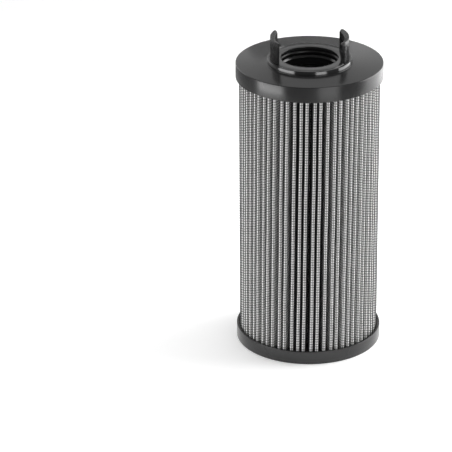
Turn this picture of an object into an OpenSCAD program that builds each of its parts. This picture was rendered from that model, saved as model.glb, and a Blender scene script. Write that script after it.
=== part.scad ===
// Return-line hydraulic filter element, outside-in flow, standing on its closed end.
// Millimetres. Z is the element's axis, and Z = 0 is the face that it stands on.

/* [Body] */
// Outside diameter of both end caps
cap_d = 95; // [88:0.5:110]
// Height from the bottom cap's face to the top cap's face
body_h = 193.5; // [120:1:260]

/* [End caps] */
// Height of the top cap's rim, which wraps the pleats' upper ends
top_rim_h = 10.1; // [9:0.1:14]
// Height of the bottom cap's rim
bottom_rim_h = 8.9; // [8:0.1:14]
// Wall of the rim
rim_wall = 1.5; // [1:0.1:2.2]
// Plate of the top cap
top_plate = 2.4; // [2.2:0.1:3.5]
// Plate of the bottom cap
base_plate = 3; // [2.6:0.1:4]
// Rounding of the caps' outer edges
edge_r = 0.4; // [0.3:0.1:1.4]
// Room between the core tube and the ring of each cap that centres it
locator_gap = 0.3; // [0.1:0.05:0.6]
// Wall of that ring
locator_wall = 1.8; // [1.2:0.1:2.6]
// Length of that ring
locator_l = 5; // [3:0.5:8]

/* [Bottom face] */
// Inside diameter of the flat band that the element stands on
stand_d = 74; // [70:0.5:80]
// Diameter of the raised disc in the middle
disc_d = 58.2; // [50:0.2:64]
// Depth of the channel round the disc
channel_depth = 1.2; // [0.6:0.1:1.6]
// How far the disc stays back from the standing face
disc_back = 0.5; // [0.2:0.1:0.6]
// Diameter of the circle of the two short slots in the channel
slot_circle_d = 66; // [65:0.2:68]
// Depth of those slots
slot_depth = 0.4; // [0.2:0.1:0.6]

/* [Collar and bore] */
// Outside diameter of the collar on the top cap
collar_d = 55.4; // [54:0.2:64]
// Height of the collar
collar_h = 2.9; // [2.6:0.1:4.4]
// Diameter of the fine ring groove in the collar's face
ring_groove_d = 46.4; // [45:0.2:49.4]
// Diameter of the bore's mouth
mouth_d = 37.2; // [36.6:0.1:38]
// Diameter inside the ledge that stops the spigot
stop_d = 35; // [33.6:0.1:35.4]
// Diameter of the bore below that ledge
neck_d = 36.4; // [35.8:0.1:36.8]
// Wall of the neck outside the seal's groove
neck_wall = 1.2; // [0.8:0.1:2.4]
// Length of the neck below the cap's face
neck_l = 9; // [7:0.5:14]

/* [Seal] */
// Cord diameter of the bore's O-ring
ring_cord = 3.5; // [3:0.1:3.6]
// Inside diameter of that O-ring
ring_bore_d = 35.4; // [34.6:0.1:36.2]
// Room between the O-ring and its groove
ring_gap = 0.06; // [0.04:0.01:0.15]
// Height of the collar's lip above the groove
lip_h = 1.9; // [1.5:0.1:2.4]

/* [Hooks] */
// Outside diameter over the two hooks
hook_d = 50.6; // [49.8:0.2:53.4]
// Wall of a hook
hook_wall = 1.8; // [1.4:0.1:2.2]
// Height of a hook above the collar
hook_h = 14.4; // [10:0.2:22]
// Half of the angle that a hook spans
hook_half = 32; // [20:1:45]
// How far the barb stands in from the hook's wall
barb_in = 1.2; // [0.6:0.1:1.6]
// Height of the barb with its lead-in slope
barb_h = 2.2; // [1.8:0.1:4]

/* [Core tube] */
// Outside diameter of the perforated tube
core_d = 61.4; // [60.8:0.2:64]
// Wall of the tube
core_wall = 1; // [0.8:0.1:1.1]
// Diameter of its holes
hole_d = 6; // [4:0.5:7]
// Holes in one row
hole_cols = 12; // [8:1:14]
// Distance between rows
hole_pitch = 11; // [9:0.5:16]
// Half of the angle that the tube's folded seam spans
fold_half = 4; // [3:0.5:6]
// How far the seam stands into the tube
fold_in = 1.1; // [0.8:0.1:1.6]

/* [Pleats] */
// Number of pleats
pleat_count = 64; // [50:1:66]
// Gap between the pleats' crests and the rim
crest_gap = 0.5; // [0.3:0.1:1.2]
// Gap between the pleats' roots and the core tube
root_gap = 0.2; // [0.1:0.05:0.5]
// Bend radius inside each fold
fold_r = 0.1; // [0.08:0.01:0.14]
// How far a crest leans from its even place, in degrees
crest_lean = 0.6; // [0:0.05:0.6]
// Distance from each cap's plate to the pleats' ends
end_gap = 0.6; // [0.3:0.1:1]
// Depth of the adhesive in each cap
potting_h = 4.4; // [3:0.1:6]
// Depth of the adhesive between the two ends of the pleated strip
seam_l = 6; // [3:0.5:9]

/* [Layers] */
// Wire mesh on the outside
outer_mesh_t = 0.36; // [0.3:0.02:0.4]
// Fleece under the outer mesh
outer_fleece_t = 0.14; // [0.1:0.02:0.18]
// Coarse glass-fibre layer
prefilter_t = 0.18; // [0.12:0.02:0.2]
// Fine glass-fibre layer
fine_media_t = 0.22; // [0.16:0.02:0.24]
// Fleece inside the media
inner_fleece_t = 0.12; // [0.08:0.02:0.14]
// Wire mesh on the inside
inner_mesh_t = 0.26; // [0.2:0.02:0.28]

/* [Hidden] */
$fn = 96;

// Radii and heights that several pieces share
cap_r = cap_d / 2;
rim_r = cap_r - rim_wall;
collar_r = collar_d / 2;
collar_top = body_h + collar_h;
mouth_r = mouth_d / 2;
stop_r = stop_d / 2;
neck_r = neck_d / 2;
core_r = core_d / 2;
locator_r = core_r - core_wall - locator_gap;
plate_top_z = body_h - top_plate;
clear = 0.3;
join = 1;

// The seal: its section, and the groove that holds it
ring_r = (ring_bore_d + ring_cord) / 2;
groove_r = ring_r + ring_cord / 2 + ring_gap;
groove_h = ring_cord + 2 * ring_gap;
neck_out_r = groove_r + neck_wall;
groove_top_z = collar_top - lip_h;
groove_low_z = groove_top_z - groove_h;
mouth_edge = 0.5;
stop_edge = 0.3;
stop_h = 1.5;

// The collar's wall: a bead, a fine groove and a band
bead_r = 0.6;
band_h = 1.15;
wall_groove = 0.3;
face_groove_w = 0.5;
face_groove_depth = 0.4;

// The hooks
hook_r = hook_d / 2;
hook_in_r = hook_r - hook_wall;
hook_top = collar_top + hook_h;
hook_edge = 0.6;
barb_undercut = 0.4;

// The pack: half its thickness, its folds and the circles that their centres lie on
layers = [outer_mesh_t, outer_fleece_t, prefilter_t, fine_media_t, inner_fleece_t, inner_mesh_t];
function sum_to(k) = k == 0 ? 0 : layers[k - 1] + sum_to(k - 1);
pack_t = sum_to(len(layers));
half_t = pack_t / 2;
bend_r = half_t + fold_r;
crest_r = rim_r - crest_gap;
crest_centre_r = crest_r - bend_r - half_t;
root_centre_r = core_r + root_gap + bend_r + half_t;
pleat_step = 360 / pleat_count;
lean_walk = 137.5;
crest_parts = 6;
root_parts = 3;
pack_low_z = base_plate + end_gap;
pack_top_z = plate_top_z - end_gap;
pack_l = pack_top_z - pack_low_z;
seam_azimuth = 90;

function unit(a) = [cos(a), sin(a)];

// A quarter round from angle a to angle b, in the plane of a profile
function arc(c, r, a, b, parts = 5) = [for (k = [0 : parts]) c + r * unit(a + (b - a) * k / parts)];

// Where crest i and the root after it point
function crest_dir(i) = seam_azimuth + i * pleat_step
    + (i % pleat_count == 0 ? 0 : crest_lean * (sin(i * lean_walk) + 0.4 * sin(i * 53)));
function root_dir(i) = seam_azimuth + (i + 0.5) * pleat_step;
function crest_at(i) = crest_centre_r * unit(crest_dir(i));
function root_at(i) = root_centre_r * unit(root_dir(i));

// The way that a leg of crest i faces, counted from the crest's own direction.
// The leg runs along the inner tangent of the crest's circle and the root's circle.
function leg_swing(i, j) =
    let (v = root_at(j) - crest_at(i), in = -unit(crest_dir(i)), side = [-in[1], in[0]])
    [atan2(v * side, v * in), acos(2 * bend_r / norm(v))];
function leg_after(i) = let (s = leg_swing(i, i)) crest_dir(i) + 180 + s[0] - s[1];
function leg_before(i) = let (s = leg_swing(i, i - 1)) crest_dir(i) - 180 + s[0] + s[1];

// One face of the folded sheet, at distance d outside the middle of the pack
function crest_pts(i, d) = arc(crest_at(i), bend_r + d, leg_before(i), leg_after(i), crest_parts);
function root_pts(i, d) =
    arc(root_at(i), bend_r - d, leg_after(i) + 180, leg_before(i + 1) + 180, root_parts);
function sheet_face(d) = concat(
    [crest_at(0) + (bend_r + d) * unit(leg_after(0))],
    [for (i = [0 : pleat_count - 1]) each concat(
        root_pts(i, d), i < pleat_count - 1 ? crest_pts(i + 1, d) : [])],
    [crest_at(pleat_count) + (bend_r + d) * unit(leg_before(pleat_count))]);

// A sheet of the pack between two distances from its middle: a strip with two ends
module sheet(outer_d, inner_d) {
    far = sheet_face(inner_d);
    polygon(concat(sheet_face(outer_d), [for (k = [len(far) - 1 : -1 : 0]) far[k]]));
}

module layer(k) {
    translate([0, 0, pack_low_z]) linear_extrude(pack_l)
        sheet(half_t - sum_to(k), half_t - sum_to(k + 1));
}

// The outline of the adhesive that joins the strip's two ends: a bead and a tongue
module seam_outline() {
    c = crest_at(0);
    a = leg_after(0);
    b = leg_before(pleat_count) - 360;
    inner = bend_r - half_t;
    polygon(concat(
        arc(c, bend_r + half_t, b, a, 12),
        [c + inner * unit(a), c + inner * unit(a) + seam_l * unit(a + 90)],
        [c + inner * unit(b) + seam_l * unit(b - 90), c + inner * unit(b)]));
}

// The rim, its rounded outer edge and the underside up to the core's locator, drawn for a
// face at z = 0 with the inside of the cap at negative z
function cap_outside(plate, rim_h) = concat(
    [[locator_r - locator_wall, -plate - locator_l], [locator_r, -plate - locator_l]],
    [[locator_r, -plate], [rim_r, -plate], [rim_r, -rim_h], [cap_r, -rim_h]],
    arc([cap_r - edge_r, -edge_r], edge_r, 0, 90));

module top_cap_body() {
    stop_low = groove_low_z - body_h - stop_h;
    groove_top = groove_top_z - body_h;
    groove_low = groove_low_z - body_h;
    ring_groove_r = ring_groove_d / 2;
    rotate_extrude() polygon(concat(
        [[stop_r, groove_low - stop_edge], [stop_r, stop_low + stop_edge]],
        [[neck_r, stop_low - (neck_r - stop_r) + stop_edge], [neck_r, -neck_l], [neck_out_r, -neck_l]],
        [[neck_out_r, -top_plate], [locator_r - locator_wall, -top_plate]],
        cap_outside(top_plate, top_rim_h),
        [[collar_r, 0], [collar_r, band_h], [collar_r - wall_groove, band_h + wall_groove / 2]],
        [[collar_r, band_h + wall_groove]],
        arc([collar_r - bead_r, collar_h - bead_r], bead_r, 0, 90),
        [[ring_groove_r + face_groove_w / 2, collar_h]],
        [[ring_groove_r, collar_h - face_groove_depth]],
        [[ring_groove_r - face_groove_w / 2, collar_h]],
        [[mouth_r + mouth_edge, collar_h], [mouth_r, collar_h - mouth_edge]],
        [[mouth_r, groove_top], [groove_r, groove_top], [groove_r, groove_low]],
        [[stop_r + stop_edge, groove_low]]));
}

// One hook: a curved wall with a barb inside its top edge
module hook() {
    foot = collar_h - join;
    top = hook_top - body_h;
    rotate([0, 0, -hook_half]) rotate_extrude(angle = 2 * hook_half) polygon(concat(
        [[hook_in_r, foot], [hook_r, foot]],
        arc([hook_r - hook_edge, top - hook_edge], hook_edge, 0, 90),
        [[hook_in_r + hook_wall / 2, top], [hook_in_r - barb_in, top - barb_h + barb_undercut * 2]],
        [[hook_in_r - barb_in, top - barb_h + barb_undercut], [hook_in_r, top - barb_h]]));
}

module top_end_cap() {
    color("#2b2b2c") translate([0, 0, body_h]) union() {
        top_cap_body();
        for (side = [0, 180]) rotate([0, 0, side]) hook();
    }
}

module bore_o_ring() {
    color("#161616") translate([0, 0, groove_low_z + groove_h / 2])
        rotate_extrude() translate([ring_r, 0]) circle(d = ring_cord);
}

// The closed cap: the same rim, turned over, with a flat band, a channel and a disc
module bottom_end_cap() {
    stand_r = stand_d / 2;
    disc_r = disc_d / 2;
    slope = channel_depth / 2;
    slot_w = 0.8;
    slot_half = 12;
    color("#2b2b2c") difference() {
        mirror([0, 0, 1]) rotate_extrude() polygon(concat(
            [[0, -base_plate], [locator_r - locator_wall, -base_plate]],
            cap_outside(base_plate, bottom_rim_h),
            [[stand_r, 0], [stand_r - slope, -channel_depth], [disc_r + slope, -channel_depth]],
            [[disc_r, -disc_back], [0, -disc_back]]));
        for (side = [0, 180]) rotate([0, 0, side - slot_half])
            rotate_extrude(angle = 2 * slot_half)
                translate([slot_circle_d / 2 - slot_w / 2, 0]) square([slot_w, channel_depth + slot_depth]);
    }
}

// The perforated tube, with the fold that closes it standing inwards between the locators
module core_tube() {
    low = base_plate + clear;
    high = plate_top_z - clear;
    rows = floor((body_h - top_rim_h - bottom_rim_h - hole_d) / hole_pitch);
    first = (low + high) / 2 - rows * hole_pitch / 2;
    in_r = core_r - core_wall;
    fold_low = base_plate + locator_l + clear;
    fold_high = plate_top_z - locator_l - clear;
    color("#9a9c9e") difference() {
        union() {
            translate([0, 0, low]) rotate_extrude() translate([in_r, 0]) square([core_wall, high - low]);
            translate([0, 0, fold_low]) rotate([0, 0, seam_azimuth - fold_half])
                rotate_extrude(angle = 2 * fold_half)
                    translate([in_r - fold_in, 0]) square([fold_in + core_wall / 2, fold_high - fold_low]);
        }
        for (row = [0 : rows], col = [1 : hole_cols - row % 2])
            rotate([0, 0, seam_azimuth + (col - 0.5 + (row % 2) / 2) * 360 / hole_cols])
                translate([in_r - join, 0, first + row * hole_pitch])
                    rotate([0, 90, 0]) cylinder(d = hole_d, h = core_wall + 2 * join);
    }
}

module outer_mesh() { color("#b9b6b0") layer(0); }
module outer_fleece() { color("#e4e2dc") layer(1); }
module prefilter_media() { color("#f2f1ec") layer(2); }
module fine_media() { color("#f6f5f0") layer(3); }
module inner_fleece() { color("#dcdad2") layer(4); }
module inner_mesh() { color("#a8a6a1") layer(5); }

module side_seam() {
    color("#cfc9b4") translate([0, 0, pack_low_z]) linear_extrude(pack_l) seam_outline();
}

// The adhesive in a cap: a ring from the core to the rim, with the pleats standing in it
module potting(low, cut_low) {
    color("#4a4742") difference() {
        translate([0, 0, low]) rotate_extrude()
            translate([core_r, 0]) square([rim_r - core_r, potting_h]);
        translate([0, 0, cut_low]) linear_extrude(potting_h) sheet(half_t, -half_t);
        translate([0, 0, cut_low]) linear_extrude(potting_h) seam_outline();
    }
}

module top_potting() { potting(plate_top_z - potting_h, pack_top_z - potting_h); }
module bottom_potting() { potting(base_plate, pack_low_z); }

top_end_cap();
bore_o_ring();
bottom_end_cap();
core_tube();
outer_mesh();
outer_fleece();
prefilter_media();
fine_media();
inner_fleece();
inner_mesh();
side_seam();
top_potting();
bottom_potting();
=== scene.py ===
"""Looks, camera and light of a pleated hydraulic filter element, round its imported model."""
import math

import bpy
from mathutils import Matrix, Vector


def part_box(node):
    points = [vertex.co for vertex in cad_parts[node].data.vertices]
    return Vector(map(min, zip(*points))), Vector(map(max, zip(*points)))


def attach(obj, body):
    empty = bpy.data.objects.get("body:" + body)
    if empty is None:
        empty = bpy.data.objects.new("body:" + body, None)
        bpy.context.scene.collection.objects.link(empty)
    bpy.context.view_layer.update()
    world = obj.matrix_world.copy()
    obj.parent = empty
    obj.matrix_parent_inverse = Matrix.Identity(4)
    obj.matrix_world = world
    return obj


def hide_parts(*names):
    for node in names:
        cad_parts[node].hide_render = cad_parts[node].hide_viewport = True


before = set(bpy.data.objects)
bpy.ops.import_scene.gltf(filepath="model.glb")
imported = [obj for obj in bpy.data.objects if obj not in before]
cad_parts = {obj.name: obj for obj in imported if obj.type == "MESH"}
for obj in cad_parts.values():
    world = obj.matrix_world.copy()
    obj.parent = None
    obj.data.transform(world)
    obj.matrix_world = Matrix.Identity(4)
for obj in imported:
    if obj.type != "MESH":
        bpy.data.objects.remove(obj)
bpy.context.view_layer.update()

MM = 0.001
TAU = 2 * math.pi

# Sizes of both caps in millimetres, as the model's source has them
BODY_H = 193.5
CAP_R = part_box("bottom_end_cap")[1][0] / MM
RIM_R = CAP_R - 1.5
TOP_RIM_H = 10.1
BOTTOM_RIM_H = 8.9
TOP_PLATE = 2.4
BASE_PLATE = 3.0
CORE_R = 30.7
LOCATOR_R = 29.4
LOCATOR_WALL = 1.8
LOCATOR_L = 5.0

# The closed cap's standing band, channel, slots and disc. Depths are from the standing face,
# and the slots' from the channel
STAND_R = 37.0
DISC_R = 29.1
DISC_DEPTH = 0.5
CHANNEL_DEPTH = 1.2
CHANNEL_SLOPE = 0.6
SLOT_R = 33.0
SLOT_HALF_W = 0.4
SLOT_DEPTH = 0.4
SLOT_ANGLE = math.radians(24)
HUB_R = 5.0

# The collar with the fine line sunk in its top, and the bore. Heights are from the top
# cap's flat face
COLLAR_R = 27.7
COLLAR_H = 2.9
COLLAR_FOOT_H = 0.75
COLLAR_LEAN = 0.6
LINE_IN_R = 25.0
LINE_OUT_R = 25.6
LINE_SLOPE = 0.15
LINE_DEPTH = 0.3
MOUTH_R = 18.6
LIP_H = 1.9
GROOVE_R = 21.26
GROOVE_H = 3.62
GROOVE_TOP = COLLAR_H - LIP_H
GROOVE_LOW = GROOVE_TOP - GROOVE_H
STOP_R = 17.5
STOP_H = 1.5
STOP_SLOPE_IN = 0.9
STOP_SLOPE_H = 1.1
NECK_R = 18.2
NECK_OUT_R = 22.46
NECK_L = 9.0
NECK_SLOPE = 0.7

# The O-ring, with the flash line of its mould
SEAL_R = 19.8
SEAL_CORD_R = 1.45
SEAL_FLASH = 0.04

# The hooks, their lead-in slopes, barbs and rounded corners
HOOK_R = 25.3
HOOK_IN_R = 23.5
HOOK_H = 14.4
HOOK_TOP = COLLAR_H + HOOK_H
HOOK_HALF = math.radians(32)
HOOK_SUNK = 1.0
LEAD_IN = 0.9
BARB_IN = 1.2
BARB_H = 2.2
BARB_TIP_LOW = 0.4
BARB_TIP_HIGH = 0.8
BARB_RUN_OUT = 9.0
CORNER = 2.0
CORNER_DROP = 0.9
HOOK_EDGE = 0.22

# The pleated pack, whose depths are from the middle of its layers, positive outwards
PLEATS = 64
PACK_T = 1.28
HALF_T = PACK_T / 2
FOLD_R = 0.1
CREST_GAP = 0.5
ROOT_GAP = 0.2
END_GAP = 0.6
BEND_R = HALF_T + FOLD_R
CREST_R = RIM_R - CREST_GAP
CREST_CENTRE_R = CREST_R - BEND_R - HALF_T
ROOT_CENTRE_R = CORE_R + ROOT_GAP + BEND_R + HALF_T
PACK_LOW = BASE_PLATE + END_GAP
PACK_TOP = BODY_H - TOP_PLATE - END_GAP
PACK_L = PACK_TOP - PACK_LOW
SEAM_DIR = math.radians(90)
LEAN = math.radians(0.6)
TWIST_PER_MM = math.radians(0.0131)

# The woven mesh: wires along the pleats, and rows across them in a few bands. The fleece has
# painted shade a little below each row
WIRE_R = 0.15
WIRE_DEPTH = 0.42
WIRE_PITCH = 1.41
ROW_DEPTH = HALF_T - WIRE_R
ROW_PITCH = 1.78
ROWS = int(PACK_L / ROW_PITCH)
FIRST_ROW = (PACK_LOW + PACK_TOP - (ROWS - 1) * ROW_PITCH) / 2
ROW_BANDS = 4
ROW_SHADE_DROP = 0.12

# The camera, in metres, degrees and pixels of the photograph
CAMERA_PLACE = Vector((-0.0543, -1.702, 0.8374))
CAMERA_DOWN = math.radians(24.036)
CAMERA_ROLL = math.radians(-0.43)
CAMERA_HEADING = math.radians(-1.6)
FOCAL_PIXELS = 2835.4
PHOTO_PIXELS = 452
SENSOR_MM = 36

# The light, in metres
WAIST = (0, 0, 0.1)
STRIP_DISTANCE = 0.47
CARD_CLEAR = 0.002
EVEN_LIGHT = 0.42
CEILING = math.radians(50)


class Num:
    """A number that a shader works out, with the operators that join it to others."""

    def __init__(self, tree, socket):
        self.tree = tree
        self.socket = socket

    def joined(self, operation, a, b=0.0):
        """The result of a Math node on one or two numbers."""
        return self.tree.add("ShaderNodeMath", {"operation": operation}, {0: a, 1: b})

    def __add__(self, other):
        return self.joined("ADD", self, other)

    def __sub__(self, other):
        return self.joined("SUBTRACT", self, other)

    def __rsub__(self, other):
        return self.joined("SUBTRACT", other, self)

    def __mul__(self, other):
        return self.joined("MULTIPLY", self, other)

    def cosine(self):
        return self.joined("COSINE", self)

    __radd__ = __add__
    __rmul__ = __mul__


class Net:
    """The nodes of a material or of the world: every new one comes from add()."""

    def __init__(self, owner):
        owner.use_nodes = True
        self.nodes = owner.node_tree.nodes
        self.links = owner.node_tree.links

    def add(self, kind, settings=None, inputs=None, output=0):
        """A new node, by its type, its settings and its sockets' values or links."""
        node = self.nodes.new(kind)
        for key, value in (settings or {}).items():
            setattr(node, key, value)
        for key, value in (inputs or {}).items():
            self.feed(node.inputs[key], value)
        return Num(self, node.outputs[output])

    def feed(self, socket, value):
        if isinstance(value, Num):
            self.links.new(value.socket, socket)
        else:
            socket.default_value = value


class Finish(Net):
    """A material under construction, on the coordinates of the piece that has it."""

    def __init__(self, name, roughness, **constants):
        self.material = bpy.data.materials.new(name)
        super().__init__(self.material)
        self.shader = self.nodes["Principled BSDF"]
        self.shader.inputs["Roughness"].default_value = roughness
        for socket, value in constants.items():
            self.shader.inputs[socket.replace("_", " ")].default_value = value
        self.place = self.add("ShaderNodeTexCoord", output="Object")

    def noise(self, size_mm, detail=2.0, roughness=0.5, stretch=(1, 1, 1), distortion=0.0):
        """Noise from 0 to 1 with lumps of about size_mm."""
        place = self.add("ShaderNodeMapping", None, {"Vector": self.place, "Scale": stretch})
        return self.add("ShaderNodeTexNoise", None, {
            "Vector": place, "Scale": 1 / (size_mm * MM), "Detail": detail,
            "Roughness": roughness, "Distortion": distortion})

    def blend(self, factor, a, b):
        """Colour a where factor is 0 and b where it is 1."""
        return self.add("ShaderNodeMix", {"data_type": "RGBA"},
                        {0: factor, 6: a, 7: b}, output=2)

    def spread(self, value, low, high, to_low=0.0, to_high=1.0):
        """A value's range from low to high, spread over another range and held at its ends."""
        return self.add("ShaderNodeMapRange", None, {
            "Value": value, "From Min": low, "From Max": high,
            "To Min": to_low, "To Max": to_high})

    def along(self, axis):
        """The place along one of the element's axes, in millimetres."""
        return self.add("ShaderNodeSeparateXYZ", None, {0: self.place}, output=axis) * (1 / MM)

    def colour(self, value):
        self.feed(self.shader.inputs["Base Color"], value)

    def rough(self, value):
        self.feed(self.shader.inputs["Roughness"], value)

    def bump(self, height, depth_mm, strength=1.0):
        normal = self.add("ShaderNodeBump", None, {
            "Height": height, "Distance": depth_mm * MM, "Strength": strength})
        self.feed(self.shader.inputs["Normal"], normal)


def tint(tone, share=1.0):
    """A tone, or a share of it, as a colour socket takes it."""
    return tuple(channel * share for channel in tone) + (1,)


def cap_plastic():
    """Black glass-filled plastic: a soft sheen over a faint fibre grain. The collar's foot is
    duller, as painted shade in its crease, and so are the hooks' walls, in patches, and more so
    on the hook at +X as painted shade."""
    finish = Finish("cap_plastic", 0.22, IOR=1.5)
    cloud = finish.noise(14, 3)
    grain = finish.noise(0.35, 3, 0.6)
    lumps = finish.noise(1.5, 2, stretch=(1, 1, 0.6))
    height = finish.along("Z")
    # Masks of the collar, its foot, the hooks, and their walls, which are fainter at the barbs
    collar = finish.spread(height, BODY_H + 0.2, BODY_H + 0.5)
    # The collar's foot: its sheen is taken off below as painted shade in its crease
    foot = collar - finish.spread(height, BODY_H + 1.0, BODY_H + 1.3)
    hooks = finish.spread(height, BODY_H + COLLAR_H, BODY_H + COLLAR_H + 0.8)
    walls = hooks * finish.spread(height, BODY_H + HOOK_TOP - 3, BODY_H + HOOK_TOP - 2, 1, 0.35)
    right = finish.spread(finish.along("X"), -HOOK_IN_R, HOOK_IN_R)
    # A duller finish in patches on the hooks' walls, with more on the hook at +X as painted shade
    patches = finish.spread(lumps, 0.38, 0.62, 0.4, 0.8) + right * finish.spread(
        lumps, 0.38, 0.62, 0.15, 0.2)
    finish.colour(finish.blend(cloud, tint((0.014, 0.014, 0.0142)), tint((0.020, 0.020, 0.0203))))
    finish.rough(finish.spread(cloud, 0.3, 0.7, 0.18, 0.25) + (grain - 0.5) * 0.06
                 - collar * 0.08 + hooks * finish.spread(lumps, 0.35, 0.65, 0.1, 0.3))
    finish.bump(grain + hooks * lumps * 40, 0.008, 0.5)
    shine = Num(finish, finish.shader.outputs[0])
    # A sheenless shader: a duller finish on the hooks' walls, and painted shade at the collar's
    # foot and on the hook at +X
    dull_finish_and_shade = finish.add("ShaderNodeBsdfPrincipled", None, {
        "Base Color": tint((0.015, 0.015, 0.0152)), "Roughness": 0.6,
        "Specular IOR Level": 0.0})
    both = finish.add("ShaderNodeMixShader", None, {
        0: walls * patches + foot * 0.55, 1: shine, 2: dull_finish_and_shade})
    finish.feed(finish.nodes["Material Output"].inputs["Surface"], both)
    return finish.material


def seal_rubber():
    """Moulded nitrile rubber, nearly smooth."""
    finish = Finish("seal_rubber", 0.36, Specular_IOR_Level=0.35)
    grain = finish.noise(0.5, 2)
    finish.colour(finish.blend(grain, tint((0.006, 0.006, 0.006)), tint((0.010, 0.010, 0.010))))
    finish.rough(finish.spread(grain, 0.3, 0.7, 0.3, 0.4))
    finish.bump(grain, 0.01, 0.4)
    return finish.material


def core_steel():
    """Zinc-coated sheet with a faint spangle and rolling marks."""
    finish = Finish("core_steel", 0.45, Metallic=1.0)
    spangle = finish.add("ShaderNodeTexVoronoi", None, {"Vector": finish.place, "Scale": 260})
    rolled = finish.noise(1.2, 3, 0.6, stretch=(1, 1, 0.05))
    finish.colour(finish.blend(spangle, tint((0.36, 0.37, 0.38)), tint((0.50, 0.51, 0.52))))
    finish.rough(finish.spread(rolled, 0.3, 0.7, 0.36, 0.52))
    finish.bump(rolled, 0.02, 0.3)
    return finish.material


def wire_coat(name, tone):
    """The thin dark coat of the woven wire."""
    finish = Finish(name, 0.6, Specular_IOR_Level=0.3)
    cloud = finish.noise(3.0, 2)
    grain = finish.noise(0.15, 2)
    finish.colour(finish.blend(cloud, tint(tone, 0.85), tint(tone)))
    finish.rough(finish.spread(grain, 0.3, 0.7, 0.34, 0.52))
    finish.bump(grain, 0.01, 0.4)
    return finish.material


def fibre_felt(name, tone, fibre_mm, press_and_painted_shade=0.0):
    """Off-white non-woven: crossed fibres, with clouds where they lie denser. Under the outer
    mesh it is pushed in along each row of wire, with painted shade a little below each row."""
    finish = Finish(name, 0.88, IOR=1.4)
    upright = finish.noise(fibre_mm, 4, 0.65, stretch=(1, 1, 0.25), distortion=0.6)
    across = finish.noise(fibre_mm, 4, 0.65, stretch=(0.25, 0.25, 1), distortion=0.6)
    cloud = finish.noise(4.0, 2)
    fibres = (upright + across) * 0.5
    colour = finish.blend(finish.spread(fibres + (cloud - 0.5) * 0.3, 0.35, 0.6),
                          tint(tone, 0.86), tint(tone))
    if press_and_painted_shade:
        row = (finish.along("Z") + ROW_SHADE_DROP - FIRST_ROW) * (TAU / ROW_PITCH)
        wire = finish.spread(row.cosine(), -0.2, 0.9)
        # Painted shade: the fleece is darkened a little below each row of wire
        colour = finish.blend(wire * press_and_painted_shade, colour, tint(tone, 0.16))
        fibres = fibres - wire * 1.6
    finish.colour(colour)
    finish.rough(finish.spread(fibres, 0.3, 0.7, 0.95, 0.8))
    finish.bump(fibres, 0.05, 0.7)
    return finish.material


def glue(name, tone, roughness):
    """Cured adhesive with slow lumps and a few pin bubbles."""
    finish = Finish(name, roughness)
    lumps = finish.noise(2.5, 3)
    bubbles = finish.noise(0.5, 1)
    finish.colour(finish.blend(lumps, tint(tone, 0.7), tint(tone)))
    finish.rough(finish.spread(lumps, 0.3, 0.7, roughness - 0.08, roughness + 0.1))
    finish.bump(lumps + bubbles * 0.3, 0.08, 0.6)
    return finish.material


def studio_floor():
    """Pale board, lifted to white where the eye or a reflection sees it."""
    finish = Finish("studio_floor", 0.6, Emission_Strength=1.0)
    cloud = finish.noise(60, 2)
    finish.colour(finish.blend(cloud, tint((0.90, 0.90, 0.90)), tint((0.92, 0.92, 0.92))))
    eye = finish.add("ShaderNodeLightPath", output="Is Camera Ray")
    glossy = finish.add("ShaderNodeLightPath", output="Is Glossy Ray")
    finish.feed(finish.shader.inputs["Emission Color"],
                finish.blend(eye + glossy, tint((0, 0, 0)), tint((0.2, 0.2, 0.2))))
    return finish.material


def card_paper(grey):
    """Plain matt paper."""
    finish = Finish("card_paper", 0.9)
    fibres = finish.noise(40, 2)
    finish.colour(finish.blend(fibres, tint((grey,) * 3), tint((grey + 0.01,) * 3)))
    return finish.material


def deselect():
    """Leave edit mode, and select nothing."""
    if bpy.context.object and bpy.context.object.mode != "OBJECT":
        bpy.ops.object.mode_set(mode="OBJECT")
    bpy.ops.object.select_all(action="DESELECT")


def take(piece):
    """Make a piece the only one that is selected, and the active one."""
    deselect()
    piece.select_set(True)
    bpy.context.view_layer.objects.active = piece


def edit(piece, mode="VERT"):
    """Edit mode on one piece with nothing selected."""
    take(piece)
    bpy.ops.object.mode_set(mode="EDIT")
    bpy.ops.mesh.select_mode(type=mode)
    bpy.ops.mesh.select_all(action="DESELECT")


def pick(piece, test):
    """Select the vertices that pass a test on their place, from edit mode."""
    bpy.ops.object.mode_set(mode="OBJECT")
    for vertex in piece.data.vertices:
        vertex.select = test(vertex.co)
    bpy.ops.object.mode_set(mode="EDIT")


def pick_edges(piece, test):
    """Select the edges whose two ends pass a test, from edit mode."""
    bpy.ops.object.mode_set(mode="OBJECT")
    for edge in piece.data.edges:
        edge.select = test(*(piece.data.vertices[k] for k in edge.vertices))
    bpy.ops.object.mode_set(mode="EDIT")


def close_holes():
    """Fill the open edges of the piece that is in edit mode."""
    bpy.ops.mesh.select_all(action="DESELECT")
    bpy.ops.mesh.select_non_manifold()
    bpy.ops.mesh.fill_holes(sides=0)


def turn_faces_out():
    """Turn the faces of the piece that is in edit mode outwards, and leave edit mode."""
    bpy.ops.mesh.select_all(action="SELECT")
    bpy.ops.mesh.normals_make_consistent(inside=False)
    bpy.ops.object.mode_set(mode="OBJECT")


def apply_modifier(piece, kind, **settings):
    """Add a modifier to a piece and apply it."""
    take(piece)
    modifier = piece.modifiers.new(kind.lower(), kind)
    for key, value in settings.items():
        setattr(modifier, key, value)
    bpy.ops.object.modifier_apply(modifier=modifier.name)


def smooth(piece, degrees=35):
    take(piece)
    bpy.ops.object.shade_smooth_by_angle(angle=math.radians(degrees))


def finish_piece(piece, material, node):
    """Give a piece its material and its place in the assembly, and hide the node that it
    replaces.
    """
    piece.data.materials.clear()
    piece.data.materials.append(material)
    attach(piece, "root")
    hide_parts(node)


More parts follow.
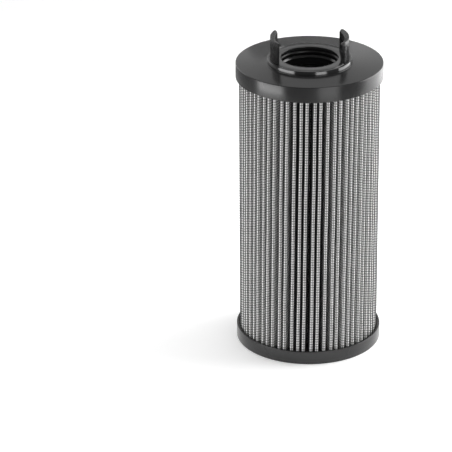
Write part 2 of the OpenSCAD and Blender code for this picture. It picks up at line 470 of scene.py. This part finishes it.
def loop_of(name, points):
    """A closed loop of edges through points: a circle primitive whose vertices are moved."""
    deselect()
    bpy.ops.mesh.primitive_circle_add(vertices=len(points), radius=CAP_R * MM)
    piece = bpy.context.object
    piece.name = name
    for vertex, point in zip(piece.data.vertices, points):
        vertex.co = Vector(point) * MM
    return piece


def strip_of(name, path, height):
    """An open line of edges along a path at one height, left in edit mode."""
    piece = loop_of(name, [(p.x, p.y, height) for p in path])
    ends = {0, len(path) - 1}
    edit(piece, "EDGE")
    pick_edges(piece, lambda a, b: {a.index, b.index} == ends)
    bpy.ops.mesh.delete(type="EDGE")
    return piece


def rounded(corners, parts=4):
    """An outline in the XZ plane through corners (r, z, rounding), as a list of points."""
    points = []
    count = len(corners)
    for k, (r, z, rounding) in enumerate(corners):
        here = Vector((r, z))
        if rounding == 0:
            points.append((r, 0, z))
            continue
        back = (Vector(corners[k - 1][:2]) - here).normalized()
        ahead = (Vector(corners[(k + 1) % count][:2]) - here).normalized()
        half = back.angle(ahead) / 2
        centre = here + (back + ahead).normalized() * (rounding / math.sin(half))
        start = here + back * (rounding / math.tan(half)) - centre
        turn = start.angle_signed(here + ahead * (rounding / math.tan(half)) - centre)
        for part in range(parts + 1):
            spoke = start.copy()
            spoke.rotate(Matrix.Rotation(-turn * part / parts, 2))
            points.append((centre.x + spoke.x, 0, centre.y + spoke.y))
    return points


def spun(name, points, steps=192, angle=TAU, start=0.0):
    """A loop of points in the XZ plane, turned round the Z axis."""
    piece = loop_of(name, points)
    piece.data.transform(Matrix.Rotation(start, 4, "Z"))
    edit(piece)
    bpy.ops.mesh.select_all(action="SELECT")
    bpy.ops.mesh.spin(steps=steps, angle=angle, center=(0, 0, 0), axis=(0, 0, -1))
    bpy.ops.mesh.select_all(action="SELECT")
    bpy.ops.mesh.remove_doubles(threshold=0.002 * MM)
    if angle < TAU:
        close_holes()
    turn_faces_out()
    return piece


def cap_underside(plate, rim_h):
    """The inside of a cap: the core's locator ring, the plate and the rim, face at z = 0."""
    inner = LOCATOR_R - LOCATOR_WALL
    return [
        (inner, -plate, 0.5), (inner, -plate - LOCATOR_L, 0.3),
        (LOCATOR_R, -plate - LOCATOR_L, 0.4), (LOCATOR_R, -plate, 0.3),
        (RIM_R, -plate, 0.6), (RIM_R, -rim_h, 0.2), (CAP_R, -rim_h, 0.25), (CAP_R, 0, 0.55)]


def hook(name, far):
    """One curved snap hook at +X, with its lead-in slope and barb, and its edges broken. Its
    barb runs out towards the end on its far side, 1 for +Y and -1 for -Y, and the top corner
    of that end is rounded off."""
    foot = COLLAR_H - HOOK_SUNK
    barb_r = HOOK_IN_R - BARB_IN
    barb_low = HOOK_TOP - BARB_H
    piece = spun(name, rounded([
        (HOOK_IN_R, foot, 0), (HOOK_R, foot, 0), (HOOK_R, HOOK_TOP, 0.6),
        (HOOK_IN_R + LEAD_IN, HOOK_TOP, 0.3), (barb_r, barb_low + BARB_TIP_HIGH, 0.15),
        (barb_r, barb_low + BARB_TIP_LOW, 0.1), (HOOK_IN_R, barb_low, 0.15)], parts=3),
        steps=40, angle=2 * HOOK_HALF, start=-HOOK_HALF)
    for vertex in piece.data.vertices:
        r = vertex.co.xy.length / MM
        left = (HOOK_HALF - far * math.atan2(vertex.co.y, vertex.co.x)) * HOOK_R
        if r < HOOK_IN_R and left < BARB_RUN_OUT:
            vertex.co.xy *= 1 + (HOOK_IN_R / r - 1) * (1 - left / BARB_RUN_OUT)
        if vertex.co.z > barb_low * MM and left < CORNER:
            vertex.co.z -= CORNER_DROP * (1 - left / CORNER) ** 2 * MM
    apply_modifier(piece, "BEVEL", width=HOOK_EDGE * MM, segments=2, limit_method="ANGLE",
                   angle_limit=math.radians(60))
    return piece


def top_end_cap(material):
    """The open cap: the bore with its ledge and groove, the neck below it, the rim, the collar
    with a fine line on its top, and two hooks."""
    ledge_low = GROOVE_LOW - STOP_H
    piece = spun("top_cap", rounded([
        (STOP_R + STOP_SLOPE_IN, GROOVE_LOW, 0.15), (STOP_R, GROOVE_LOW - STOP_SLOPE_H, 0.2),
        (STOP_R, ledge_low, 0.1), (NECK_R, ledge_low - NECK_SLOPE, 0.3),
        (NECK_R, -NECK_L, 0.4), (NECK_OUT_R, -NECK_L, 0.4), (NECK_OUT_R, -TOP_PLATE, 0.6),
        *cap_underside(TOP_PLATE, TOP_RIM_H),
        (COLLAR_R, 0, 0.15), (COLLAR_R, COLLAR_FOOT_H, 0.5),
        (COLLAR_R - COLLAR_LEAN, COLLAR_H, 0.4),
        (LINE_OUT_R, COLLAR_H, 0.1), (LINE_OUT_R - LINE_SLOPE, COLLAR_H - LINE_DEPTH, 0.05),
        (LINE_IN_R + LINE_SLOPE, COLLAR_H - LINE_DEPTH, 0.05), (LINE_IN_R, COLLAR_H, 0.1),
        (MOUTH_R, COLLAR_H, 0.2), (MOUTH_R, GROOVE_TOP, 0.15),
        (GROOVE_R, GROOVE_TOP, 0.2), (GROOVE_R, GROOVE_LOW, 0.2)]))
    for turn, far in ((0, 1), (math.pi, -1)):
        clip = hook("hook", far)
        clip.data.transform(Matrix.Rotation(turn, 4, "Z"))
        apply_modifier(piece, "BOOLEAN", operation="UNION", object=clip, solver="EXACT")
        bpy.data.objects.remove(clip)
    piece.data.transform(Matrix.Translation((0, 0, BODY_H * MM)))
    smooth(piece)
    finish_piece(piece, material, "top_end_cap")


def bottom_end_cap(material):
    """The closed cap, modelled face up like the other, closed in its middle, cut by two short
    slots in its channel, and then turned over."""
    piece = spun("bottom_cap", rounded([
        (HUB_R, -BASE_PLATE, 0), *cap_underside(BASE_PLATE, BOTTOM_RIM_H),
        (STAND_R, 0, 0.25), (STAND_R - CHANNEL_SLOPE, -CHANNEL_DEPTH, 0.3),
        (DISC_R + CHANNEL_SLOPE, -CHANNEL_DEPTH, 0.3), (DISC_R, -DISC_DEPTH, 0.25),
        (HUB_R, -DISC_DEPTH, 0)]))
    edit(piece)
    pick(piece, lambda place: place.xy.length < (HUB_R + 0.1) * MM)
    bpy.ops.mesh.delete(type="VERT")
    close_holes()
    turn_faces_out()
    slot_low = -CHANNEL_DEPTH - SLOT_DEPTH
    for side in (0, math.pi):
        slot = spun("slot", [
            (SLOT_R - SLOT_HALF_W, 0, 0), (SLOT_R + SLOT_HALF_W, 0, 0),
            (SLOT_R + SLOT_HALF_W, 0, slot_low), (SLOT_R - SLOT_HALF_W, 0, slot_low)],
            steps=12, angle=SLOT_ANGLE, start=side - SLOT_ANGLE / 2)
        apply_modifier(piece, "BOOLEAN", operation="DIFFERENCE", object=slot, solver="EXACT")
        bpy.data.objects.remove(slot)
    piece.data.transform(Matrix.Rotation(math.pi, 4, "X"))
    smooth(piece)
    finish_piece(piece, material, "bottom_end_cap")


def bore_o_ring(material):
    """The seal, with the fine flash line of its mould round its inside and outside."""
    points = []
    parts = 24
    for k in range(parts):
        a = TAU * k / parts
        cord_r = SEAL_CORD_R + (SEAL_FLASH if k % (parts // 2) == 0 else 0.0)
        points.append((SEAL_R + cord_r * math.cos(a), 0, cord_r * math.sin(a)))
    piece = spun("o_ring", points, steps=128)
    middle = BODY_H + (GROOVE_TOP + GROOVE_LOW) / 2
    piece.data.transform(Matrix.Translation((0, 0, middle * MM)))
    smooth(piece, degrees=60)
    finish_piece(piece, material, "bore_o_ring")


def polar(r, a):
    """A point of the plane, by its radius and direction."""
    return Vector((r * math.cos(a), r * math.sin(a)))


def crest_dir(i):
    """The direction of a crest. All lean a little, each differently, but the ones at the seam."""
    even = SEAM_DIR + TAU * i / PLEATS
    if i % PLEATS == 0:
        return even
    lean = math.sin(math.radians(i * 137.5)) + 0.4 * math.sin(math.radians(i * 53))
    return even + LEAN * lean


def crest_at(i):
    return polar(CREST_CENTRE_R, crest_dir(i))


def root_at(i):
    return polar(ROOT_CENTRE_R, SEAM_DIR + TAU * (i + 0.5) / PLEATS)


def leg_side(i, j, side):
    """Which way the leg from crest i to root j faces, on the crest's far or near side."""
    run = root_at(j) - crest_at(i)
    inward = crest_dir(i) + math.pi
    swing = (math.atan2(run.y, run.x) - inward + math.pi) % TAU - math.pi
    return inward + swing - side * math.acos(2 * BEND_R / run.length) - (side < 0) * TAU


def arc(centre, r, a, b, parts):
    """Points of an arc round a centre, from direction a to direction b."""
    return [centre + polar(r, a + (b - a) * k / parts) for k in range(parts + 1)]


def fold_path(depth, crest_parts, root_parts):
    """The pleated strip's line at one depth of the pack, end to end."""
    path = [crest_at(0) + polar(BEND_R + depth, leg_side(0, 0, 1))]
    for i in range(PLEATS):
        after = leg_side(i, i, 1)
        before = leg_side(i + 1, i, -1)
        ahead = leg_side(i + 1, i + 1, 1)
        path += arc(root_at(i), BEND_R - depth, after + math.pi, before + math.pi, root_parts)
        crest = arc(crest_at(i + 1), BEND_R + depth, before, ahead, crest_parts)
        path += crest if i < PLEATS - 1 else crest[:1]
    return path


def sway(place):
    """Turn a point of the pack with its height, as the real pack is twisted a little between
    its caps, and let the crests wander by less than 0.1 mm along their length."""
    x, y, z = place
    r = math.hypot(x, y)
    a = math.atan2(y, x)
    depth = max(0.0, min(1.0, (r / MM - ROOT_CENTRE_R) / (CREST_CENTRE_R - ROOT_CENTRE_R)))
    rise = (z / MM - PACK_LOW) / PACK_L
    wave = 0.07 * math.sin(2.2 * TAU * rise + 5 * a) + 0.05 * math.sin(3.7 * TAU * rise + 13 * a)
    turn = TWIST_PER_MM * PACK_L * (rise - 0.5) + math.radians(wave) * depth
    return (x * math.cos(turn) - y * math.sin(turn), x * math.sin(turn) + y * math.cos(turn), z)


def sway_piece(piece):
    for vertex in piece.data.vertices:
        vertex.co = sway(vertex.co)


def draw_up():
    """Extrude all of the piece that is in edit mode up to the pack's top."""
    bpy.ops.mesh.select_all(action="SELECT")
    bpy.ops.mesh.extrude_region_move(TRANSFORM_OT_translate={"value": (0, 0, PACK_L * MM)})


def pleated_sheet(name, outer, inner, crest_parts, node, material):
    """One layer of the pack: its outer face is drawn up the element and given a thickness."""
    piece = strip_of(name, fold_path(outer, crest_parts, 3), PACK_LOW)
    draw_up()
    pick_edges(piece, lambda a, b: abs(a.co.z - b.co.z) > MM)
    bpy.ops.mesh.subdivide(number_cuts=15)
    turn_faces_out()
    apply_modifier(piece, "SOLIDIFY", thickness=(outer - inner) * MM,
                   offset=-1, use_even_offset=True)
    sway_piece(piece)
    smooth(piece, degrees=50)
    finish_piece(piece, material, node)


def wires(name, piece):
    """Turn a piece's edges into wires, with four sides that are shaded round."""
    take(piece)
    bpy.ops.object.convert(target="CURVE")
    piece = bpy.context.object
    piece.data.bevel_depth = WIRE_R * MM
    piece.data.bevel_resolution = 0
    piece.data.use_fill_caps = True
    bpy.ops.object.convert(target="MESH")
    piece = bpy.context.object
    piece.name = name
    return piece


def finish_wires(piece, material):
    """Twist a piece of the outer mesh with the pack, and finish it."""
    sway_piece(piece)
    smooth(piece, degrees=180)
    finish_piece(piece, material, "outer_mesh")


def spaced(path, pitch):
    """Points along a path, a pitch apart."""
    points = []
    left = pitch / 2
    for a, b in zip(path, path[1:]):
        length = (b - a).length
        while left < length:
            points.append(a.lerp(b, left / length))
            left += pitch
        left -= length
    return points


def mesh_wires(material):
    """The wires of the outer mesh that run up along the pleats."""
    warp = spaced(fold_path(WIRE_DEPTH, 8, 3), WIRE_PITCH)
    piece = loop_of("mesh_wires", [(p.x, p.y, PACK_LOW) for p in warp])
    edit(piece)
    bpy.ops.mesh.select_all(action="SELECT")
    bpy.ops.mesh.delete(type="EDGE_FACE")
    draw_up()
    bpy.ops.mesh.select_all(action="SELECT")
    bpy.ops.mesh.subdivide(number_cuts=11)
    bpy.ops.object.mode_set(mode="OBJECT")
    finish_wires(wires("mesh_wires", piece), material)


def mesh_rows(material):
    """The rows of the outer mesh that follow the folds, a piece for each band of them."""
    path = fold_path(ROW_DEPTH, 5, 2)
    for band in range(ROW_BANDS):
        low = ROWS * band // ROW_BANDS
        high = ROWS * (band + 1) // ROW_BANDS
        name = f"mesh_rows_{band + 1}"
        piece = strip_of(name, path, FIRST_ROW + low * ROW_PITCH)
        bpy.ops.object.mode_set(mode="OBJECT")
        piece = wires(name, piece)
        apply_modifier(piece, "ARRAY", count=high - low, use_relative_offset=False,
                       use_constant_offset=True, constant_offset_displace=(0, 0, ROW_PITCH * MM))
        finish_wires(piece, material)


def turned_copy(node, name, cuts=0):
    """A copy of a node of the pack that follows its twist, cut across so that it can bend."""
    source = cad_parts[node]
    piece = bpy.data.objects.new(name, source.data.copy())
    bpy.context.scene.collection.objects.link(piece)
    edit(piece)
    bpy.ops.mesh.select_all(action="SELECT")
    bpy.ops.mesh.remove_doubles(threshold=0.001 * MM)
    low, high = (corner.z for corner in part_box(node))
    for k in range(1, cuts + 1):
        bpy.ops.mesh.select_all(action="SELECT")
        bpy.ops.mesh.bisect(plane_co=(0, 0, low + (high - low) * k / (cuts + 1)),
                            plane_no=(0, 0, 1))
    bpy.ops.object.mode_set(mode="OBJECT")
    sway_piece(piece)
    smooth(piece, degrees=40)
    return piece


def dress_nodes(finishes):
    """Materials for the nodes that keep their own meshes."""
    for node, material in finishes.items():
        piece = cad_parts[node]
        piece.data.materials.clear()
        piece.data.materials.append(material)


def camera():
    """The photograph's camera, from a fit to the ellipses of the caps' rims."""
    deselect()
    bpy.ops.object.camera_add()
    view = bpy.context.object
    heading = Matrix.Rotation(CAMERA_HEADING, 4, "Z")
    tilt = Matrix.Rotation(math.pi / 2 - CAMERA_DOWN, 4, "X")
    roll = Matrix.Rotation(CAMERA_ROLL, 4, "Z")
    view.matrix_world = Matrix.Translation(heading @ CAMERA_PLACE) @ heading @ tilt @ roll
    view.data.sensor_width = SENSOR_MM
    view.data.lens = SENSOR_MM * FOCAL_PIXELS / PHOTO_PIXELS
    view.data.clip_end = 20
    bpy.context.scene.camera = view


def round_from_camera(degrees, distance):
    """A place on the floor, by its angle from the camera's side, positive to the right."""
    a = math.radians(degrees)
    return distance * math.sin(a), -distance * math.cos(a)


def softbox(name, place, aim, size, power, mirrored=False, lit=True):
    """A soft lamp that the eye doesn't see, gloss only where it is mirrored, and matt
    surfaces only where it is lit."""
    deselect()
    bpy.ops.object.light_add(type="AREA", location=place)
    lamp = bpy.context.object
    lamp.name = name
    lamp.data.shape = "RECTANGLE"
    lamp.data.size, lamp.data.size_y = size
    lamp.data.energy = power
    way = Vector(aim) - Vector(place)
    lamp.rotation_euler = way.to_track_quat("-Z", "Y").to_euler()
    lamp.visible_camera = False
    lamp.visible_glossy = mirrored
    lamp.visible_diffuse = lit


def dark_card(name, degrees, near, far, width, grey, low=CARD_CLEAR, high=CARD_CLEAR):
    """A card that only shows as a dark reflection. It points away from the element like a
    slice, from a near edge at height low to a far edge of some width at height high."""
    deselect()
    bpy.ops.mesh.primitive_plane_add(size=1)
    card = bpy.context.object
    card.name = name
    a = math.radians(degrees)
    for vertex in card.data.vertices:
        x, y, _ = vertex.co
        out = near + (far - near) * (y + 0.5)
        side = width * x * out / far
        vertex.co = (out * math.sin(a) + side * math.cos(a),
                     -out * math.cos(a) + side * math.sin(a), low + (high - low) * (y + 0.5))
    card.data.materials.append(card_paper(grey))
    card.visible_camera = False
    card.visible_diffuse = False
    card.visible_shadow = False


def surround():
    """A white room for the eye. Gloss sees it too, but darker towards the ceiling on the
    camera's side, and all else takes an even light from it."""
    world = bpy.data.worlds.new("surround")
    bpy.context.scene.world = world
    net = Net(world)
    towards = net.add("ShaderNodeTexCoord", output="Generated")
    unlit = net.add("ShaderNodeVectorMath", {"operation": "DOT_PRODUCT"},
                    {0: towards, 1: (0, -math.cos(CEILING), math.sin(CEILING))}, output="Value")
    gloss = net.add("ShaderNodeMapRange", {"interpolation_type": "SMOOTHSTEP"}, {
        "Value": unlit, "From Min": -0.65, "From Max": 0.35,
        "To Min": 0.95, "To Max": 0.1})
    eye = net.add("ShaderNodeLightPath", output="Is Camera Ray")
    glossy = net.add("ShaderNodeLightPath", output="Is Glossy Ray")
    strength = EVEN_LIGHT + glossy * (gloss - EVEN_LIGHT)
    strength = strength + eye * (1.0 - strength)
    net.feed(net.nodes["Background"].inputs["Strength"], strength)
    net.feed(net.nodes["Background"].inputs["Color"], (1, 1, 1, 1))


def studio():
    """A pale floor, soft boxes for matt surfaces, upright strips and dark cards that the rims
    and the collar mirror, and a white surround."""
    deselect()
    bpy.ops.mesh.primitive_plane_add(size=6)
    floor = bpy.context.object
    floor.name = "studio_floor"
    floor.data.materials.append(studio_floor())
    softbox("box_right", (1.2, 0.1, 0.8), WAIST, (0.8, 0.8), 7)
    softbox("box_front", (-0.35, -1.2, 0.6), WAIST, (0.5, 0.5), 1.2)
    softbox("box_top", (0.0, 0.3, 1.5), WAIST, (1.2, 1.2), 10)
    for name, degrees, width, low, high, power, lit in (
            ("strip_left", -64, 0.36, 0.0, 0.12, 0.67, True),
            ("high_left", -66, 0.40, 0.22, 0.42, 1.8, False),
            ("strip_front", 24, 0.25, 0.0, 0.2, 0.19, True),
            ("high_front", 27, 0.23, 0.22, 0.42, 0.9, False),
            ("strip_right", 121, 0.56, 0.0, 0.15, 0.48, True),
            ("high_right", 104, 0.46, 0.15, 0.5, 2.7, True),
            ("strip_back", -138, 0.36, 0.25, 0.55, 0.45, True)):
        x, y = round_from_camera(degrees, STRIP_DISTANCE)
        middle = (low + high) / 2
        softbox(name, (x, y, middle), (0, 0, middle), (width, high - low), power,
                mirrored=True, lit=lit)
    dark_card("card_front", -14, near=0.26, far=1.4, width=1.3, grey=0.3)
    dark_card("card_side", 62, near=0.26, far=1.4, width=0.95, grey=0.22)
    dark_card("card_back", -132, near=0.2, far=1.4, width=2.4, grey=0.35)
    dark_card("card_behind", 180, near=0.15, far=0.15, width=0.08, grey=0.3, low=0.19, high=0.24)
    surround()
    bpy.context.scene.view_settings.view_transform = "Standard"


camera()
studio()

plastic = cap_plastic()
top_end_cap(plastic)
bottom_end_cap(plastic)
bore_o_ring(seal_rubber())

outer_wire = wire_coat("outer_wire", (0.045, 0.045, 0.047))
mesh_wires(outer_wire)
mesh_rows(outer_wire)

# The layers under the outer mesh, each with the depths of its outer and its inner face and the
# number of steps round its crests
fleece = fibre_felt("fleece", (0.80, 0.795, 0.78), 0.35)
# The outer fleece is pushed in along each row of the mesh, with painted shade below each row
outer_fleece = fibre_felt("outer_fleece", (0.88, 0.877, 0.87), 0.35, press_and_painted_shade=0.42)
felt = fibre_felt("glass_fibre", (0.84, 0.835, 0.82), 0.2)
inner_wire = wire_coat("inner_wire", (0.06, 0.06, 0.06))
pleated_sheet("outer_fleece_sheet", 0.28, 0.14, 8, "outer_fleece", outer_fleece)
pleated_sheet("prefilter_sheet", 0.14, -0.04, 6, "prefilter_media", felt)
pleated_sheet("fine_media_sheet", -0.04, -0.26, 5, "fine_media", felt)
pleated_sheet("inner_fleece_sheet", -0.26, -0.38, 5, "inner_fleece", fleece)
pleated_sheet("inner_mesh_sheet", -0.38, -0.64, 5, "inner_mesh", inner_wire)

potting = glue("potting_glue", (0.07, 0.065, 0.06), 0.5)
for node in ("top_potting", "bottom_potting"):
    finish_piece(turned_copy(node, node + "_ring"), potting, node)
seam = glue("seam_glue", (0.62, 0.57, 0.44), 0.45)
finish_piece(turned_copy("side_seam", "seam_bead", cuts=15), seam, "side_seam")
dress_nodes({"core_tube": core_steel()})
